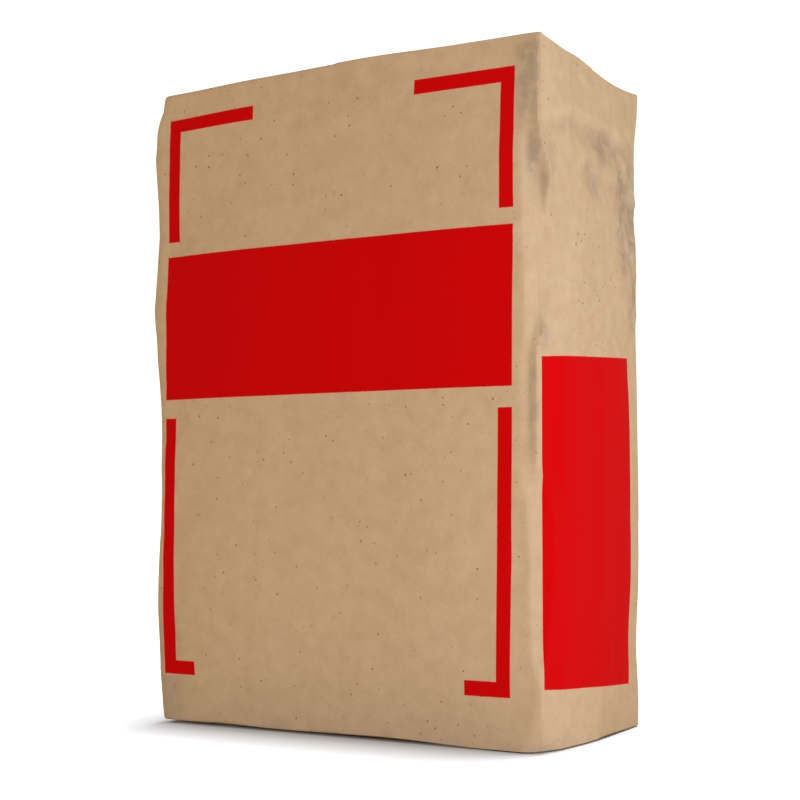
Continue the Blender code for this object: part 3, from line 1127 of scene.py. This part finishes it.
# %% [markdown]
# ## The cover sheets
# A sheet of the same paper is pasted over the folded flaps of each end. Paste draws it down, so it
# shows the step where the short flaps lie lower and the line where the two long flaps overlap, and
# its own cut edges lift a little here and there. It starts as a thin plate the size of the solid,
# is cut into a net, and follows the sack by the same settling. The top sheet is also drawn down by
# most of a millimetre, so that no gap shows under it from the side.

# %% Cover sheets
COVER_DARK = linear("#8F6F49")
COVER_LIGHT = linear("#9A7A53")
COVER_CUTS = (131, 67)
COVER_CORNER = 2.0 * MM
SHORT_FLAP_DROP = 0.35 * MM
DROP_RUN = 2.5 * MM
OVERLAP_PLACE = 8 * MM
OVERLAP_RISE = 0.22 * MM
EDGE_LIFT = 0.5 * MM
EDGE_LIFT_RUN = 7 * MM
PASTE_DRAW = 0.75 * MM
LIFT_WAVES = (19 * MM, 13 * MM)


def cover_relief(flat, side, half_size):
    """How far the pasted sheet comes out over the flaps, and where its edges have lifted."""
    x, y = np.abs(flat[:, 0]), np.abs(flat[:, 1])
    into_short = (HALF_DEPTH - y) - (HALF_WIDTH - x)
    drop = SHORT_FLAP_DROP * eased(into_short / DROP_RUN + 0.5)
    overlap = OVERLAP_RISE * eased((flat[:, 1] - OVERLAP_PLACE) / DROP_RUN + 0.5)
    from_edge = np.minimum(half_size[0] - x, half_size[1] - y)
    wave = np.sin(flat[:, 0] / LIFT_WAVES[0]) * np.sin(flat[:, 1] / LIFT_WAVES[1] + side)
    lift = EDGE_LIFT * eased(1 - from_edge / EDGE_LIFT_RUN) * np.clip(wave, 0, 1) * (side > 0)
    return overlap - drop + lift


def cover_sheet(name, node, side):
    """The sheet pasted over one end. The side is -1 at the base and 1 at the top."""
    low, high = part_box(node)
    sheet = block(name, (low + high) / 2, high - low)
    select_only(sheet, "EDGE", edges_along(sheet, 2))
    bpy.ops.mesh.bevel(offset=COVER_CORNER, segments=3)
    bpy.ops.object.mode_set(mode="OBJECT")
    for axis, cuts in enumerate(COVER_CUTS):
        way = np.eye(3)[axis]
        spacing = (high[axis] - low[axis]) / cuts
        for at in np.arange(low[axis] + spacing, high[axis] - spacing / 2, spacing):
            cut_line(sheet, slice(None), at * way, way)
    flat = points_of(sheet)
    beneath = flat.copy()
    beneath[:, 2] = MIDDLE[2] + side * HALF_BOX[2]
    out = rolling(beneath) + cover_relief(flat, side, ((high.x - low.x) / 2, (high.y - low.y) / 2))
    out = np.minimum(out, 0) if side < 0 else out - PASTE_DRAW
    move_points(sheet, settled(flat + np.array([0, 0, side]) * out[:, None]))
    print(name, "has", len(sheet.data.polygons), "faces")
    return sheet


top_sheet = cover_sheet("top_pasted_sheet", "top_cover_sheet", 1)
base_sheet = cover_sheet("base_pasted_sheet", "base_cover_sheet", -1)
cover_kraft = kraft_paper("Cover sheet kraft paper", COVER_DARK, COVER_LIGHT)
hand_over(top_sheet, "top_cover_sheet", cover_kraft)
hand_over(base_sheet, "base_cover_sheet", cover_kraft)

# %% [markdown]
# ## The valve sleeve
# The filling nozzle goes into a flat paper sleeve, and the cement then presses it shut. It is made
# as a flat tube: the face at its mouth is inset by one ply and pushed inwards, which leaves two
# plies and a thin slot between them. Its lips wave a little and carry a trace of cement.

# %% Valve sleeve
SLEEVE_PLY = 0.45 * MM
SLOT_LENGTH = 32 * MM
SLEEVE_CUTS = (15, 31)
LIP_HEIGHT = 0.25 * MM
LIP_WAVE = 9 * MM
LIP_REACH = 20 * MM

sleeve_low, sleeve_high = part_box("valve_sleeve")
sleeve = block("valve_paper_sleeve", (sleeve_low + sleeve_high) / 2, sleeve_high - sleeve_low)
select_only(sleeve, "FACE", centres_of(sleeve)[:, 0] < sleeve_low.x + HAIR)
bpy.ops.mesh.inset(thickness=SLEEVE_PLY)
bpy.ops.mesh.extrude_region_move(TRANSFORM_OT_translate={"value": (SLOT_LENGTH, 0, 0)})
bpy.ops.object.mode_set(mode="OBJECT")
for axis, cuts in enumerate(SLEEVE_CUTS):
    divide_along(sleeve, axis, cuts)
sleeve_flat = points_of(sleeve)
near_mouth = eased(1 - (sleeve_flat[:, 0] - sleeve_low.x) / LIP_REACH)
sleeve_flat[:, 2] += LIP_HEIGHT * np.sin(sleeve_flat[:, 1] / LIP_WAVE) * near_mouth
move_points(sleeve, settled(sleeve_flat))
print("sleeve has", len(sleeve.data.polygons), "faces")

# %% Sleeve paper with a trace of cement
CEMENT_GREY = linear("#8F8B82")
DUST_REACH = 22 * MM
DUST_SIZE = 7.1429 * MM

sleeve_kraft = kraft_paper("Valve sleeve kraft paper", COVER_DARK, COVER_LIGHT)
tree = sleeve_kraft.node_tree
paper_colour = tree.nodes["Principled BSDF"].inputs["Base Color"]
bare = paper_colour.links[0].from_socket
spot = add_node(tree, "TexCoord").outputs["Object"]
inwards = add_node(tree, "SeparateXYZ", {0: spot})
dust = add_node(tree, "MapRange", {"Value": inwards, "From Min": sleeve_low.x + DUST_REACH,
                                   "From Max": sleeve_low.x})
patchy = add_node(tree, "TexNoise", {"Vector": spot, "Scale": 1 / DUST_SIZE, "Detail": 3.0})
cover = add_node(tree, "Math", {0: dust, 1: patchy}, operation="MULTIPLY")
dusted = add_node(tree, "Mix", {0: cover, 6: bare, 7: CEMENT_GREY}, data_type="RGBA")
tree.links.new(dusted.outputs[2], paper_colour)
hand_over(sleeve, "valve_sleeve", sleeve_kraft)
print("pieces:", sack.name, top_sheet.name, base_sheet.name, sleeve.name)

# %% [markdown]
# ## The floor and the white room
# The photograph was taken in a white studio. The floor is matte paper: it mirrors nothing and only
# takes a soft shadow. It is a middle grey here, so that the light from above burns it out to white
# and the shadow still shows. The room's light comes evenly from all round.

# %% Floor and room
FLOOR_SIZE = 24.0
FLOOR_DROP = 0.3 * MM
FLOOR_ROUGHNESS = 0.9
FLOOR_SPECULAR = 0.1
ROOM_STRENGTH = 1.18

bpy.ops.mesh.primitive_plane_add(size=FLOOR_SIZE, location=(0, 0, -FLOOR_DROP))
floor = bpy.context.object
floor.name = "studio_floor"
bpy.ops.object.transform_apply(location=True, rotation=True, scale=True)
pale, pale_shader = new_material("Matte white studio paper", FLOOR_ROUGHNESS, FLOOR_SPECULAR)
pale_shader.inputs["Base Color"].default_value = linear("#BCBCBC")
floor.data.materials.append(pale)

world = bpy.data.worlds.new("white_studio")
world.use_nodes = True
background = world.node_tree.nodes["Background"]
background.inputs["Color"].default_value = (1, 1, 1, 1)
background.inputs["Strength"].default_value = ROOM_STRENGTH
bpy.context.scene.world = world
bpy.context.scene.view_settings.view_transform = "Standard"
print("room strength:", background.inputs["Strength"].default_value)

# %% [markdown]
# ## Three lamps
# One soft lamp on the right is a little cooler than the room and throws no shadow on the floor. A
# second one, above, shines on the floor only and leaves the tight soft shadow in front of the base.
# A weak one lies low, in the plane of the floor, and gives the lower half of the sack the light that
# a white floor bounces up. Each lamp is kept off whatever isn't in its own collection.

# %% Lamps
PIECES = (sack, top_sheet, base_sheet, sleeve)
KEY_PLACE = Vector((0.72, -0.32, 0.30))
KEY_AIM = Vector((0.05, -0.05, 0.2))
FLOOR_LIGHT_FROM = Vector((0.035, 0.096, 1.0))
FILL_PLACE = (0.22, -0.30, 0.4 * MM)


def add_lamp(kind, name, place, turn, things, **settings):
    """Adds one lamp that shines on these things only."""
    bpy.ops.object.light_add(type=kind, location=place, rotation=turn)
    lamp = bpy.context.object
    lamp.name = name
    for setting, value in settings.items():
        setattr(lamp.data, setting, value)
    lit = bpy.data.collections.new("lit_by_" + name)
    for thing in things:
        lit.objects.link(thing)
    lamp.light_linking.receiver_collection = lit
    return lamp


add_lamp("AREA", "key_softbox", KEY_PLACE, (KEY_AIM - KEY_PLACE).to_track_quat("-Z", "Y").to_euler(),
         PIECES, shape="DISK", size=0.35, energy=8.0, color=(0.46, 0.61, 1.0))
add_lamp("SUN", "soft_floor_light", (0, 0, 2), FLOOR_LIGHT_FROM.to_track_quat("Z", "Y").to_euler(),
         (floor,), angle=math.radians(14), energy=6.0, color=(0.93, 0.96, 1.0))
fill = add_lamp("AREA", "low_fill", FILL_PLACE, (math.pi, 0, 0), PIECES, shape="RECTANGLE",
                size=0.7, size_y=0.6, energy=1.15, color=(0.50, 0.60, 1.0))
fill.visible_camera = False
